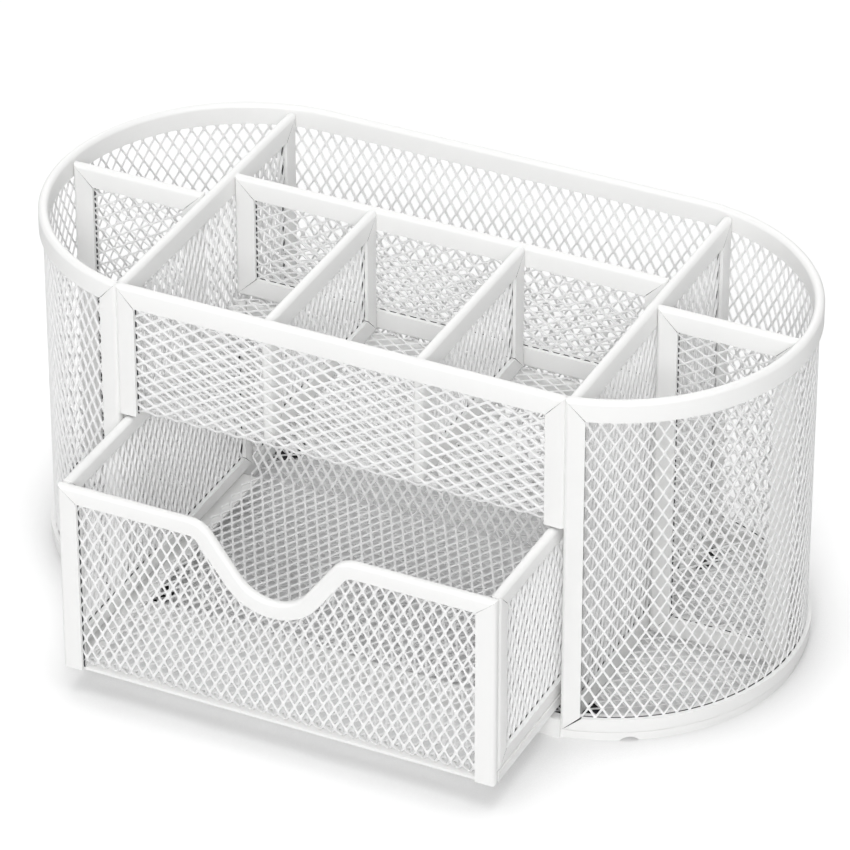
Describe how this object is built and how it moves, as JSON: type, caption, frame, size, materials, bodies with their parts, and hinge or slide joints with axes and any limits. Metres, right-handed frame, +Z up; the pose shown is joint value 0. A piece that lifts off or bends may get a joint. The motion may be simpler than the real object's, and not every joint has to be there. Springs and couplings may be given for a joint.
{
  "type": "pen stand with drawer",
  "caption": "Oval desk pen stand in white expanded-mesh steel with front trays, a long rear compartment, round end wells and a pull-out drawer.",
  "frame": {"origin": "on the desk plane under the middle of the oval body", "axes": "+X along the long side to the right seen from the front, +Y to the back, +Z up; the drawer pulls out along -Y"},
  "size_m": [0.22, 0.1465, 0.106],
  "materials": {
    "frame": "white powder coat, soft gloss, on folded sheet-steel channels",
    "mesh": "white powder coat, soft gloss, on expanded steel mesh"
  },
  "bodies": {
    "root": {"wall_top_rim": "frame", "wall_bottom_rim": "frame", "left_front_post": "frame", "right_front_post": "frame", "left_front_wall_mesh": "mesh", "left_back_wall_mesh": "mesh", "right_front_wall_mesh": "mesh", "right_back_wall_mesh": "mesh", "back_wall_mesh": "mesh", "front_panel_top_rim": "frame", "front_panel_left_border": "frame", "front_panel_right_border": "frame", "front_panel_mesh": "mesh", "shelf_mesh": "mesh", "left_divider_mesh": "mesh", "left_divider_frame": "frame", "right_divider_mesh": "mesh", "right_divider_frame": "frame", "left_short_divider_mesh": "mesh", "left_short_divider_frame": "frame", "right_short_divider_mesh": "mesh", "right_short_divider_frame": "frame", "tray_back_wall_mesh": "mesh", "tray_back_wall_frame": "frame", "left_tray_divider_mesh": "mesh", "left_tray_divider_frame": "frame", "right_tray_divider_mesh": "mesh", "right_tray_divider_frame": "frame", "base_floor_mesh": "mesh", "base_rim": "frame"},
    "drawer": {"drawer_front_mesh": "mesh", "drawer_floor_mesh": "mesh", "drawer_back_mesh": "mesh", "drawer_front_trim": "frame", "drawer_front_left_post": "frame", "drawer_front_right_post": "frame", "drawer_left_side_mesh": "mesh", "drawer_left_side_frame": "frame", "drawer_right_side_mesh": "mesh", "drawer_right_side_frame": "frame", "drawer_back_trim": "frame", "drawer_left_floor_strip": "frame", "drawer_right_floor_strip": "frame", "drawer_front_floor_strip": "frame"}
  },
  "joints": [
    {"name": "drawer_slide", "type": "slide", "parent": "root", "child": "drawer", "axis": [0, -1, 0], "range_m": [-0.037, 0.045]}
  ]
}
